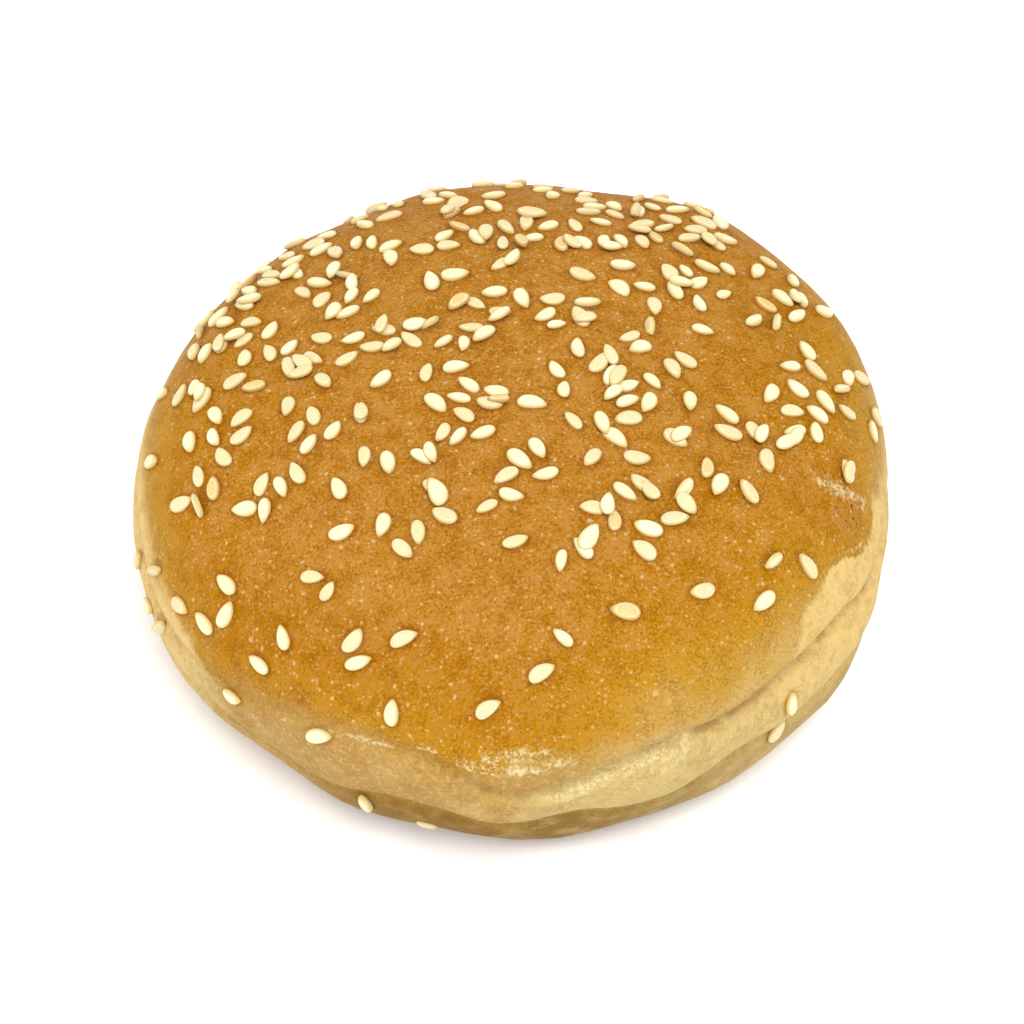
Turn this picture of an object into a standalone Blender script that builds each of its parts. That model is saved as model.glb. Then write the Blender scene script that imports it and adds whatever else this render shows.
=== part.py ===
"""A round sesame bun baked in one piece, with the seeds of its crown fused to the crust."""

import math
import random

import bmesh
import bpy
import numpy as np
from mathutils import Matrix, Vector

MM = 0.001

# Driving sizes, in millimetres. Angles are degrees seen from above, from +X towards +Y:
# the front of the bun, -Y, is at 270.
WIDTH = 90.0
HEIGHT = 38.0
WIDEST_HEIGHT = 16.0
HEEL_RADIUS = 34.9
CROWN_POWER = 2.46
UNDER_POWER = 2.2
RADIUS = WIDTH / 2

# The plan isn't quite round: each wave is (lobes, height in mm, angle of its first crest).
CROWN_WAVES = ((2, 1.0, 59), (3, 0.65, 42), (5, 0.1, -25), (6, 0.13, -9))
HEEL_WAVES = ((2, 0.36, 26), (3, 0.46, -56), (5, 0.3, -20), (6, 0.19, -25))
WAVES_CHANGE_FROM = 6.0
WAVES_CHANGE_TO = 26.0

# The crease where the browned crown laps over the pale side: (angle, height) and (angle, depth).
FOLD_LEVEL = 20.3
FOLD_HEIGHTS = (
    (0, 18.2), (32, 20.5), (62, 18.3), (95, 20.8), (128, 18.6), (160, 20.4), (188, 19.8),
    (207, 17.2), (226, 19.2), (241, 22.4), (253, 23.2), (261, 21.8), (268, 19.2), (277, 19.0),
    (284, 20.7), (290, 22.1), (303, 21.2), (317, 21.6), (327, 20.7), (337, 18.6),
)
FOLD_DEPTHS = (
    (0, 0.6), (32, 0.8), (62, 0.4), (95, 0.7), (128, 0.5), (160, 0.6), (188, 0.35),
    (226, 0.3), (253, 0.35), (268, 0.6), (277, 0.5), (290, 0.9), (317, 0.9), (337, 0.8),
)
FOLD_HALF_WIDTH = 0.9
LIP_SHARE = 0.4
LIP_ABOVE = 2.2
LIP_HALF_WIDTH = 1.7

# The line where the pale side overhangs the heel, and how far it stands out above that line.
TUCK_LEVEL = 12.4
TUCK_HEIGHTS = (
    (0, 12.0), (40, 13.2), (80, 11.6), (120, 12.8), (160, 11.6), (200, 12.2), (226, 11.0),
    (244, 11.0), (252, 13.0), (260, 13.4), (267, 12.3), (278, 12.8), (285, 11.6), (293, 12.0),
    (301, 14.2), (313, 13.6), (332, 12.4),
)
TUCK_DEPTH = 0.5
TUCK_HALF_WIDTH = 0.9
ROLL_HEIGHTS = ((0, 0.5), (60, 0.3), (120, 0.5), (190, 0.2), (240, 0.3), (270, 0.5), (295, 0.9), (325, 0.7))

# Hollows in the crust: (angle, height, half width in mm, depth in mm).
HOLLOWS = ((250, 27.6, 2.3, 0.6), (341, 24.6, 4.5, 0.9), (294, 24.3, 1.5, 0.3), (78, 27.0, 6.0, 0.6))

# Gentle lumps all over, as shares of one height and with a wave length in mm.
LUMP_HEIGHT = 0.16
LUMP_LENGTHS = (15.0, 18.0, 22.0, 27.0, 33.0)
LUMP_DRAW = 5

# The mesh of the crust.
SEGMENTS = 56
COARSE_STEP = 4.5
FINE_STEP = 1.35
FINE_REACH = 2.4

# The seeds. A stray lies alone: (angle, level, heading), the heading measured from the rim to uphill.
SEED_LENGTH = 3.05
SEED_LENGTH_SPREAD = 0.22
SEED_WIDTH = 0.54
SEED_THICKNESS = 0.27
SEED_RAISED = 0.12
SEED_ROOT = 0.6
SEED_DRAW = 31
SEED_GAP = 0.12
STRAYS = (
    (187, 26.4, 60), (190, 31.0, 5), (192, 32.6, 20), (200, 29.8, 80), (202, 32.2, 165), (203, 24.1, 60),
    (212, 24.8, 10), (218, 25.6, 170), (218, 29.5, 175), (221, 27.6, 85), (226, 19.0, 5), (230, 25.2, 160),
    (231, 32.4, 15), (232, 28.2, 125), (235, 31.9, 75), (242, 19.3, 20), (243, 29.3, 65), (245, 27.8, 30),
    (251, 30.3, 40), (252, 24.0, 110), (266, 28.5, 60), (274, 31.1, 25), (278, 32.6, 120), (290, 32.2, 140),
    (305, 31.6, 160), (314, 28.3, 180), (320, 30.2, 175), (324, 29.9, 110), (325, 28.0, 95), (346, 30.1, 55),
    (312, 17.0, 75), (311, 11.7, 30), (248, 10.3, 80), (257, 7.0, 5), (195, 17.5, 75), (202, 15.8, 30),
    (207, 18.2, 70),
)

# Where seeds lie together on the crown, seen from above: (x, y, spread, how many).
SEED_GROUPS = (
    (-17, 31.5, 2.8, 5), (-9, 31, 2.4, 4), (-6, 27.5, 1.8, 3), (-2.5, 29, 0.5, 1), (2, 36.5, 2.6, 3),
    (7, 32.5, 2.6, 4), (11, 29, 2.2, 6), (16, 33, 2.8, 4), (21, 30, 3, 6), (24.5, 26.5, 2, 3),
    (17.5, 25, 2.8, 6), (-25.5, 25.5, 3, 6), (-19.5, 24.5, 2.2, 3), (-9.5, 20.3, 1.8, 3),
    (-5.7, 21.8, 1.6, 3), (-0.5, 22.3, 2.2, 5), (5, 22.5, 2.6, 6), (9.5, 20.3, 1.2, 2),
    (12.6, 21.3, 0.4, 1), (-30.5, 20, 2.6, 6), (-36, 14.5, 2.6, 6), (-24, 15.8, 2.4, 6),
    (-14.7, 19, 1.2, 2), (-31.8, 15.8, 1.2, 2), (-7.4, 13.5, 1.8, 2), (-1.2, 15.4, 1, 2),
    (7.5, 14.2, 0.4, 1), (-4, 10.3, 1.5, 3), (2.8, 9.2, 2.2, 3), (7.2, 8, 1.6, 3), (14, 12.8, 1.8, 2),
    (12.8, 16.6, 0.4, 1), (21.3, 18.3, 2.6, 6), (20, 12, 2, 3), (24.5, 13.2, 0.4, 1), (15.8, 7.8, 2, 2),
    (21.7, 6.7, 0.4, 1), (31.5, 14, 2.4, 6), (29, 20, 0.8, 1), (28, 9.8, 0.4, 1), (33.8, 6.8, 0.4, 1),
    (-36.5, 8, 1.8, 4), (-31.5, 9.5, 2, 4), (-18, 10.8, 2, 4), (-20.7, 8.5, 0.4, 1), (-29.5, 4.2, 2, 3),
    (-24.8, 3.6, 2.4, 5), (-17.2, 3.4, 2.2, 5), (-13, 3.6, 1.4, 2), (-9.9, 3.3, 1.8, 3),
    (-6.3, 1.2, 2, 3), (-2, 5.8, 1.4, 2), (-2.7, 1.8, 0.5, 1), (4.5, 2.3, 2, 2), (14, 3.2, 2, 2),
    (18.2, 0.4, 1, 2), (-38, 2, 1.6, 3), (-30.5, -0.4, 1.8, 2), (-35.8, -0.8, 0.4, 1),
    (-21.5, -2, 0.5, 1), (-14.7, -3.2, 0.5, 1), (-9.7, -1.7, 0.4, 1), (-2.7, -2, 1.2, 2),
    (2.3, -1, 0.5, 1), (9, -0.1, 1.2, 2), (12.2, -3.4, 1.6, 4), (16, -3, 0.8, 1), (34.5, 1.2, 3.4, 7),
    (32.2, -3.5, 2.4, 5), (30.3, -8, 0.4, 1), (5, -4.2, 0.4, 1), (1.5, -5.5, 0.4, 1), (-2.4, -5.8, 1, 2),
    (-9, -6.3, 0.4, 1), (-5.8, -7.7, 1.4, 2), (-18, -7, 1.2, 2), (-25.8, -5, 0.4, 1), (-33, -6.6, 3, 4),
    (-22.8, -9.3, 2.4, 4), (-7.5, -11.1, 1.4, 2), (-3.3, -11, 0.4, 1), (-11, -13, 1.2, 2),
    (6.3, -9.5, 0.4, 1), (12, -9, 1.8, 4), (14.3, -6, 0.4, 1), (19.5, -5.2, 0.4, 1), (18, -10.2, 1.2, 2),
    (24.3, -7.5, 2, 4), (27.7, -11.3, 0.4, 1), (11, -12.8, 2.6, 2), (-26, -15.6, 1.8, 3),
    (-35.5, -13.4, 2, 2), (-15, -14.2, 1.6, 2), (1.2, -15.4, 2.4, 4), (-1.8, -19.3, 1.4, 2),
    (12.4, -16.8, 1.4, 3), (18.7, -17.4, 1.2, 2), (24.3, -15.5, 2.4, 3), (17, -20.7, 0.4, 1),
    (10.2, -21.3, 1.4, 3), (13.3, -23.8, 1.4, 2), (-9.4, -18.5, 1, 2), (-10.5, -23.6, 1.2, 2),
    (-7.7, -21.7, 0.4, 1), (-14.5, -22, 0.4, 1), (-18.7, -22.7, 0.4, 1), (0, -24.7, 0.4, 1),
    (4.8, -26.8, 2, 2), (7.8, -25, 0.4, 1), (-29, -18.3, 1.4, 2), (-19, -17.3, 0.5, 1),
    (37.5, -9, 0.5, 1), (41.5, -1, 0.6, 1),
)
GROUP_TRIES = 18

# The far side: how many seeds, and the angles and levels between which they are scattered.
FAR_SEEDS = 20
FAR_ANGLES = (-8.0, 182.0)
FAR_LEVELS = (25.0, 34.5)

CRUST_COLOUR = (0.50, 0.22, 0.05)
SEED_COLOUR = (0.95, 0.86, 0.60)
CRUST_ROUGHNESS = 0.55
SEED_ROUGHNESS = 0.45


def smooth_path(points, degrees):
    """The value at each angle on a smooth closed curve through (angle, value) points."""
    stops = np.array([point[0] for point in points], float)
    values = np.array([point[1] for point in points], float)
    stops = np.concatenate([stops[-2:] - 360, stops, stops[:2] + 360])
    values = np.concatenate([values[-2:], values, values[:2]])
    slopes = np.gradient(values, stops)
    turned = np.asarray(degrees, float) % 360
    spot = np.clip(np.searchsorted(stops, turned, side="right") - 1, 0, len(stops) - 2)
    span = stops[spot + 1] - stops[spot]
    t = (turned - stops[spot]) / span
    start = values[spot] * (1 + 2 * t) * (1 - t) ** 2 + slopes[spot] * span * t * (1 - t) ** 2
    end = values[spot + 1] * t ** 2 * (3 - 2 * t) - slopes[spot + 1] * span * t ** 2 * (1 - t)
    return start + end


def blend(value, low, high):
    """0 below low, 1 above high and a smooth step between them."""
    t = np.clip((value - low) / (high - low), 0, 1)
    return t * t * (3 - 2 * t)


def bump(distance, half_width):
    """1 at no distance, falling away smoothly on both sides."""
    return np.exp(-((distance / half_width) ** 2))


def plan_wave(waves, degrees):
    return sum(height * np.cos(np.radians(lobes * (degrees - crest))) for lobes, height, crest in waves)


def profile(height):
    """Radius and outward direction (sideways, up) of the plain turned form at each height."""
    rise = np.clip((height - WIDEST_HEIGHT) / (HEIGHT - WIDEST_HEIGHT), 0, 1)
    drop = np.clip(1 - height / WIDEST_HEIGHT, 0, 1)
    crown = (1 - rise ** CROWN_POWER) ** (1 / CROWN_POWER)
    under = (1 - drop ** UNDER_POWER) ** (1 / UNDER_POWER)
    above = height > WIDEST_HEIGHT
    radius = np.where(above, RADIUS * crown, HEEL_RADIUS + (RADIUS - HEEL_RADIUS) * under)
    crown_out = crown ** (CROWN_POWER - 1) / RADIUS
    crown_up = rise ** (CROWN_POWER - 1) / (HEIGHT - WIDEST_HEIGHT)
    under_out = under ** (UNDER_POWER - 1) / (RADIUS - HEEL_RADIUS)
    under_up = -(drop ** (UNDER_POWER - 1)) / WIDEST_HEIGHT
    out = np.where(above, crown_out, under_out)
    up = np.where(above, crown_up, under_up)
    size = np.hypot(out, up)
    return radius, out / size, up / size


def ring_levels(coarse, fine):
    """Heights of the crust's rings: evenly spaced along the profile, closer at its two creases."""
    turn = np.linspace(0, math.pi / 2, 400)
    under = WIDEST_HEIGHT * (1 - np.cos(turn))
    crown = WIDEST_HEIGHT + (HEIGHT - WIDEST_HEIGHT) * np.sin(turn)
    levels = np.concatenate([under, crown[1:]])
    radius = profile(levels)[0]
    middle = (levels[1:] + levels[:-1]) / 2
    near = np.maximum(bump(middle - FOLD_LEVEL, FINE_REACH), bump(middle - TUCK_LEVEL, FINE_REACH))
    steps = np.hypot(np.diff(levels), np.diff(radius)) / (coarse + (fine - coarse) * near)
    travelled = np.concatenate([[0], np.cumsum(steps)])
    rings = int(round(travelled[-1]))
    return np.interp(np.linspace(0, travelled[-1], rings + 1), travelled, levels)


def lumps(x, y, z):
    """Slight unevenness of the whole form."""
    draw = random.Random(LUMP_DRAW)
    total = 0
    for length in LUMP_LENGTHS:
        way = Vector((draw.gauss(0, 1), draw.gauss(0, 1), draw.gauss(0, 1))).normalized()
        phase = draw.uniform(0, 2 * math.pi)
        total = total + np.sin((x * way.x + y * way.y + z * way.z) * 2 * math.pi / length + phase)
    return LUMP_HEIGHT * total


def crust(degrees, level):
    """Points of the crust in mm. The rings at FOLD_LEVEL and TUCK_LEVEL run along the two creases."""
    tuck = smooth_path(TUCK_HEIGHTS, degrees)
    fold = smooth_path(FOLD_HEIGHTS, degrees)
    between = (level - TUCK_LEVEL) / (FOLD_LEVEL - TUCK_LEVEL)
    over = (level - FOLD_LEVEL) / (HEIGHT - FOLD_LEVEL)
    height = np.where(level < TUCK_LEVEL, level * tuck / TUCK_LEVEL, tuck + between * (fold - tuck))
    height = np.where(level > FOLD_LEVEL, fold + over * (HEIGHT - fold), height)

    radius, out, up = profile(height)
    crown_share = blend(height, WAVES_CHANGE_FROM, WAVES_CHANGE_TO)
    wave = plan_wave(CROWN_WAVES, degrees) * crown_share + plan_wave(HEEL_WAVES, degrees) * (1 - crown_share)
    radius = radius * (1 + wave / RADIUS)
    across = np.cos(np.radians(degrees))
    along = np.sin(np.radians(degrees))

    depth = smooth_path(FOLD_DEPTHS, degrees)
    from_fold = height - fold
    relief = depth * LIP_SHARE * bump(from_fold - LIP_ABOVE, LIP_HALF_WIDTH)
    relief = relief - depth * bump(from_fold, FOLD_HALF_WIDTH)
    relief = relief - TUCK_DEPTH * bump(height - tuck, TUCK_HALF_WIDTH)
    relief = relief + smooth_path(ROLL_HEIGHTS, degrees) * np.sin(math.pi * np.clip(between, 0, 1))
    for angle, at_height, half_width, hollow_depth in HOLLOWS:
        turned = np.radians((degrees - angle + 180) % 360 - 180) * radius
        relief = relief - hollow_depth * bump(np.hypot(turned, height - at_height), half_width)
    relief = relief + lumps(radius * across, radius * along, height)
    relief = relief * blend(height, 0, 1.5)
    side = radius + relief * out
    return np.stack([side * across, side * along, height + relief * up], -1)


def plan_centre():
    """Middle of the crust's own box, which is brought to the origin."""
    degrees, level = np.meshgrid(np.arange(0, 360, 1.0), ring_levels(COARSE_STEP / 2, FINE_STEP / 2))
    points = crust(degrees, level)[..., :2].reshape(-1, 2)
    return (points.min(0) + points.max(0)) / 2


def spot(degrees, level):
    """Centre, rim direction, uphill direction and outward direction at one place on the crust."""
    step = 0.2
    turned = np.array([degrees, degrees + step, degrees - step, degrees, degrees])
    raised = np.array([level, level, level, level + step, level - step])
    points = crust(turned, np.clip(raised, 0, HEIGHT))
    rim = Vector(points[1] - points[2]).normalized()
    uphill = Vector(points[3] - points[4])
    outward = rim.cross(uphill).normalized()
    return Vector(points[0]), rim, outward.cross(rim), outward


def level_under(x, y):
    """Angle and level of the crown above a place in the plan."""
    degrees = math.degrees(math.atan2(y, x)) % 360
    levels = np.linspace(FOLD_LEVEL + LIP_ABOVE, HEIGHT, 120)
    points = crust(np.full(len(levels), degrees), levels)
    reach = np.hypot(points[:, 0], points[:, 1])
    return degrees, float(np.interp(-math.hypot(x, y), -reach, levels))


def seed_line(placed, count=5):
    """Points along the middle of a seed, to tell how near two seeds are."""
    centre, heading, _, length = placed
    reach = length * (1 - SEED_WIDTH) / 2
    return [centre + heading * (reach * (2 * i / (count - 1) - 1)) for i in range(count)]


def clear_of(line, others, gap):
    return all((a - b).length > gap for other in others for a in line for b in other)


def place_seeds():
    """Each seed's centre, heading, outward direction and length, and then the same of those left over.

    The seeds left over found no clear place in their group, so they lie on the others.
    """
    draw = random.Random(SEED_DRAW)
    placed = []
    left_over = []
    lines = []

    def add(degrees, level, heading):
        centre, rim, uphill, outward = spot(degrees, level)
        turn = math.radians(heading)
        length = SEED_LENGTH + draw.gauss(0, SEED_LENGTH_SPREAD)
        found = (centre, rim * math.cos(turn) + uphill * math.sin(turn), outward, length)
        line = seed_line(found)
        near = [other for other in lines if (other[2] - line[2]).length < 2 * SEED_LENGTH]
        if clear_of(line, near, SEED_LENGTH * SEED_WIDTH + SEED_GAP):
            placed.append(found)
            lines.append(line)
            return None
        return found

    for degrees, level, heading in STRAYS:
        add(degrees, level, heading)
    for x, y, spread, count in SEED_GROUPS:
        for _ in range(count):
            for attempt in range(GROUP_TRIES):
                way = draw.uniform(0, 2 * math.pi)
                reach = spread * (1 + attempt / GROUP_TRIES) * math.sqrt(draw.random())
                degrees, level = level_under(x + reach * math.cos(way), y + reach * math.sin(way))
                crowded = add(degrees, level, draw.uniform(0, 360))
                if crowded is None:
                    break
            if crowded is not None:
                left_over.append(crowded)
    wanted = len(placed) + FAR_SEEDS
    while len(placed) < wanted:
        add(draw.uniform(*FAR_ANGLES), draw.uniform(*FAR_LEVELS), draw.uniform(0, 360))
    return placed, left_over


def make_material(name, colour, roughness):
    material = bpy.data.materials.new(name)
    material.use_nodes = True
    shader = material.node_tree.nodes["Principled BSDF"]
    shader.inputs["Base Color"].default_value = (*colour, 1)
    shader.inputs["Roughness"].default_value = roughness
    shader.inputs["Metallic"].default_value = 0
    return material


def make_object(name, points, faces, material, collection):
    """A mesh object from points in mm."""
    mesh = bpy.data.meshes.new(name)
    mesh.from_pydata([tuple(float(v) * MM for v in point) for point in points], [], faces)
    mesh.materials.append(material)
    mesh.validate()
    made = bpy.data.objects.new(name, mesh)
    collection.objects.link(made)
    return made


def make_crust(material, centre, collection):
    """The bun without its seeds: rings from the edge of the flat base up to the top."""
    levels = ring_levels(COARSE_STEP, FINE_STEP)[:-1]
    degrees = np.arange(SEGMENTS) * 360 / SEGMENTS
    grid = crust(*np.meshgrid(degrees, levels))
    points = grid.reshape(-1, 3).tolist()
    points.append(crust(np.array([0.0]), np.array([HEIGHT]))[0].tolist())
    faces = [tuple(reversed(range(SEGMENTS)))]
    for ring in range(len(levels) - 1):
        for i in range(SEGMENTS):
            j = (i + 1) % SEGMENTS
            low = ring * SEGMENTS
            faces.append((low + i, low + j, low + SEGMENTS + j, low + SEGMENTS + i))
    rim = (len(levels) - 1) * SEGMENTS
    faces += [(rim + i, rim + (i + 1) % SEGMENTS, len(points) - 1) for i in range(SEGMENTS)]
    points = [(x - centre[0], y - centre[1], z) for x, y, z in points]
    return make_object("bun", points, faces, material, collection)


def seed_mesh(length):
    """A five-sided seed lying along +X with its tip there, in mm, with a root below the crust."""
    half = length / 2
    side = length * SEED_WIDTH / 2
    top = length * SEED_THICKNESS / 2
    outline = ((half, 0), (half * 0.05, side * 0.95), (-half * 0.82, side * 0.6),
               (-half * 0.82, -side * 0.6), (half * 0.05, -side * 0.95))
    count = len(outline)
    points = [(x * 0.9, y * 0.9, -SEED_ROOT) for x, y in outline]
    points += [(x, y, SEED_RAISED) for x, y in outline]
    points += [(half * 0.3, 0, SEED_RAISED + top * 0.9), (-half * 0.45, 0, SEED_RAISED + top)]
    front = 2 * count
    back = front + 1
    faces = [tuple(reversed(range(count)))]
    faces += [(i, (i + 1) % count, count + (i + 1) % count, count + i) for i in range(count)]
    tip, left, left_back, right_back, right = range(count, 2 * count)
    faces += [(tip, left, front), (left, left_back, back, front), (left_back, right_back, back)]
    faces += [(right_back, right, front, back), (right, tip, front)]
    return points, faces


def make_seeds(material, centre, collection):
    for number, (at, heading, outward, length) in enumerate(place_seeds()[0]):
        points, faces = seed_mesh(length)
        turn = Matrix((heading, outward.cross(heading), outward)).transposed()
        moved = [turn @ Vector(point) + at - Vector((*centre, 0)) for point in points]
        make_object(f"seed_{number:03d}", moved, faces, material, collection)


def fuse(core, collection):
    """Joins the collection's objects to the core in one solid, then removes them."""
    joined = core.modifiers.new("Fused seeds", "BOOLEAN")
    joined.operation = "UNION"
    joined.operand_type = "COLLECTION"
    joined.collection = collection
    joined.solver = "EXACT"
    joined.material_mode = "TRANSFER"
    bpy.context.view_layer.update()
    evaluated = core.evaluated_get(bpy.context.evaluated_depsgraph_get())
    mesh = bpy.data.meshes.new_from_object(evaluated)
    core.modifiers.clear()
    core.data = mesh
    mesh.name = core.name
    for helper in list(collection.objects):
        bpy.data.objects.remove(helper, do_unlink=True)
    bpy.data.collections.remove(collection)


def tidy_mesh(made):
    """Triangles only, with the flat faces kept sharp at their edges and the rest smooth."""
    mesh = made.data
    work = bmesh.new()
    work.from_mesh(mesh)
    bmesh.ops.triangulate(work, faces=work.faces)
    work.to_mesh(mesh)
    work.free()
    mesh.shade_smooth()
    mesh.set_sharp_from_angle(angle=math.radians(35))


def main():
    for old in list(bpy.data.objects):
        bpy.data.objects.remove(old, do_unlink=True)
    scene_collection = bpy.context.scene.collection
    seeds = bpy.data.collections.new("Seeds")
    scene_collection.children.link(seeds)
    crust_material = make_material("Crust", CRUST_COLOUR, CRUST_ROUGHNESS)
    seed_material = make_material("Sesame", SEED_COLOUR, SEED_ROUGHNESS)
    centre = plan_centre()
    bun = make_crust(crust_material, centre, scene_collection)
    make_seeds(seed_material, centre, seeds)
    fuse(bun, seeds)
    tidy_mesh(bun)


main()
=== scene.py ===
"""The looks of a sesame bun: a browned crust with its pale creased side, and every seed on it."""

import math
import random

import bpy
import numpy as np
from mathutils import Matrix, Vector, noise


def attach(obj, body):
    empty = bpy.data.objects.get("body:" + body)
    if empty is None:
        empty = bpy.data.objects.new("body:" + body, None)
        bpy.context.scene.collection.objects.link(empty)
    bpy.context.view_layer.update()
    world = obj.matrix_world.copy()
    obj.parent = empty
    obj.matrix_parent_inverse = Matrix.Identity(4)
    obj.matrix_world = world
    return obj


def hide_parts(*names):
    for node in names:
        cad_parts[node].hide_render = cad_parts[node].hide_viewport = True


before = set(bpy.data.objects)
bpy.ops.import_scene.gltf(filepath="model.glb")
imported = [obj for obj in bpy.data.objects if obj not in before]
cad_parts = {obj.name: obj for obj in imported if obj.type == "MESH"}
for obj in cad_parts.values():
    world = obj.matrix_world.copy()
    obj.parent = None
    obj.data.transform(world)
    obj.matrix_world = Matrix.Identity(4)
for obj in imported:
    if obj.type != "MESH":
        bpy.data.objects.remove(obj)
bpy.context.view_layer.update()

MM = 0.001

# Driving sizes, in millimetres. Angles are degrees seen from above, from +X towards +Y:
# the front of the bun, -Y, is at 270.
WIDTH = 90.0
HEIGHT = 38.0
WIDEST_HEIGHT = 16.0
HEEL_RADIUS = 34.9
CROWN_POWER = 2.46
UNDER_POWER = 2.2
RADIUS = WIDTH / 2

# The plan isn't quite round: each wave is (lobes, height in mm, angle of its first crest).
CROWN_WAVES = ((2, 1.0, 59), (3, 0.65, 42), (5, 0.1, -25), (6, 0.13, -9))
HEEL_WAVES = ((2, 0.36, 26), (3, 0.46, -56), (5, 0.3, -20), (6, 0.19, -25))
WAVES_CHANGE_FROM = 6.0
WAVES_CHANGE_TO = 26.0

# The crease where the browned crown laps over the pale side: (angle, height) and (angle, depth).
FOLD_LEVEL = 20.3
FOLD_HEIGHTS = (
    (0, 18.2), (32, 20.5), (62, 18.3), (95, 20.8), (128, 18.6), (160, 20.4), (188, 19.8),
    (207, 17.2), (226, 19.2), (241, 22.4), (253, 23.2), (261, 21.8), (268, 19.2), (277, 19.0),
    (284, 20.7), (290, 22.1), (303, 21.2), (317, 21.6), (327, 20.7), (337, 18.6),
)
FOLD_DEPTHS = (
    (0, 0.6), (32, 0.8), (62, 0.4), (95, 0.7), (128, 0.5), (160, 0.6), (188, 0.35),
    (226, 0.3), (253, 0.35), (268, 0.6), (277, 0.5), (290, 0.9), (317, 0.9), (337, 0.8),
)
FOLD_HALF_WIDTH = 0.9
LIP_SHARE = 0.4
LIP_ABOVE = 2.2
LIP_HALF_WIDTH = 1.7

# The line where the pale side overhangs the heel, and how far it stands out above that line.
TUCK_LEVEL = 12.4
TUCK_HEIGHTS = (
    (0, 12.0), (40, 13.2), (80, 11.6), (120, 12.8), (160, 11.6), (200, 12.2), (226, 11.0),
    (244, 11.0), (252, 13.0), (260, 13.4), (267, 12.3), (278, 12.8), (285, 11.6), (293, 12.0),
    (301, 14.2), (313, 13.6), (332, 12.4),
)
TUCK_DEPTH = 0.5
TUCK_HALF_WIDTH = 0.9
ROLL_HEIGHTS = ((0, 0.5), (60, 0.3), (120, 0.5), (190, 0.2), (240, 0.3), (270, 0.5), (295, 0.9), (325, 0.7))

# Hollows in the crust: (angle, height, half width in mm, depth in mm).
HOLLOWS = ((250, 27.6, 2.3, 0.6), (341, 24.6, 4.5, 0.9), (294, 24.3, 1.5, 0.3), (78, 27.0, 6.0, 0.6))

# Gentle lumps all over, as shares of one height and with a wave length in mm.
LUMP_HEIGHT = 0.16
LUMP_LENGTHS = (15.0, 18.0, 22.0, 27.0, 33.0)
LUMP_DRAW = 5

# The steps of the plain solid's rings, which set the box that is centred on the origin.
COARSE_STEP = 4.5
FINE_STEP = 1.35
FINE_REACH = 2.4

# The mesh of the crust here.
SEGMENTS = 500
CRUST_STEP = 0.5
CREASE_STEP = 0.4
BASE_RINGS = 24
BASE_HOLLOW = 0.35
BASE_HOLLOW_LENGTH = 9.0
BASE_RIM_SHARE = 0.15

# Fine relief: (wave length, height), in mm.
SKIN_RELIEF = ((5.0, 0.10), (2.2, 0.05), (1.2, 0.03))

# Where the browned crust ends, as (angle, level), and how far its edge blurs, as (angle, mm).
BORDER_LEVELS = (
    (0, 23.5), (32, 23.0), (62, 22.0), (95, 23.6), (128, 22.4), (160, 23.6), (186, 24.3), (196, 24.0),
    (206, 23.8), (213, 23.3), (217.5, 22.2), (219.5, 20.2), (223, 19.6), (232, 20.0), (242, 20.6),
    (250, 20.4), (256, 19.6), (261, 20.2), (264.5, 21.4), (266.5, 22.8), (269, 24.2), (273, 25.0),
    (277, 24.4), (282, 22.8), (288, 21.6), (296, 20.9), (306, 20.7), (313, 21.2), (316, 22.8),
    (318, 24.2), (322, 25.1), (330, 26.2), (333, 26.0), (335, 25.1), (339, 24.2), (343, 23.9),
    (345.5, 24.3), (347, 25.6), (350, 24.6), (355, 24.0),
)
BORDER_BLUR = (
    (0, 1.6), (62, 1.8), (128, 1.8), (170, 1.4), (188, 1.3), (206, 1.3), (216, 1.1), (220, 1.0),
    (226, 1.8), (242, 1.8), (256, 1.6), (262, 0.9), (267, 0.6), (275, 1.2), (283, 1.8), (292, 1.3),
    (300, 1.1), (311, 0.9), (317, 0.7), (325, 0.35), (333, 0.2), (343, 0.2), (347, 0.3), (351, 1.2),
)
LEAST_BLUR = 0.15

# How many levels further down the baking reaches: (angle, levels).
BAKED_SHIFTS = (
    (0, -4.0), (24, -3.0), (50, -0.6), (90, 0.5), (160, 0), (186, -2.0), (205, -0.6), (218, 1.2), (235, 2.0),
    (255, 1.8), (266, 0.8), (278, -1.0), (292, -2.0), (305, -2.8), (320, -2.6), (331, -1.8), (341, 0.6),
    (350, -3.4),
)

# How creamy the pale side is, and how much creamier above the fold: (angle, share).
CREAM_SHARES = (
    (0, 0.8), (60, 0.6), (120, 0.6), (170, 0.8), (190, 1.0), (206, 0.95), (216, 0.6), (223, 0.3), (240, 0.15),
    (258, 0.15), (268, 0.4), (277, 0.9), (286, 1.0), (300, 0.9), (312, 0.75), (322, 0.6), (330, 0.65),
    (338, 0.85), (348, 0.95),
)
HIGH_CREAM_SHARES = (
    (0, 0.4), (60, 0.2), (165, 0.2), (188, 0.9), (208, 0.9), (222, 0.2), (240, 0), (262, -0.1), (268, -0.4),
    (282, -0.5), (296, 0), (312, 0.5), (322, 0.9), (345, 0.8),
)
HIGH_CREAM_FROM = (20.3, 21.3)

# Some of that cream shows below the fold too, fading out between these levels.
LOW_CREAM_SHARE = 0.55
LOW_CREAM_FROM = (9.0, 13.0)

# How deeply the crust is browned, and how brown the heel is: (angle, share). Both end between two levels.
DEEP_SHARES = (
    (0, 0), (60, 0.1), (160, 0.1), (200, 0.1), (215, 0.3), (228, 0.5), (246, 0.5), (262, 0.3), (278, 0.15),
    (300, 0), (335, 0.1),
)
DEEP_UP_TO = (29.0, 33.5)
HEEL_SHARES = (
    (0, 0.3), (90, 0.7), (180, 0.5), (205, 0.0), (234, 0.1), (244, 0.8), (262, 1.0), (278, 0.95), (290, 0.8),
    (305, 0.4), (325, 0.35), (345, 0.2),
)
HEEL_UP_TO = (11.4, 12.8)

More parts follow.
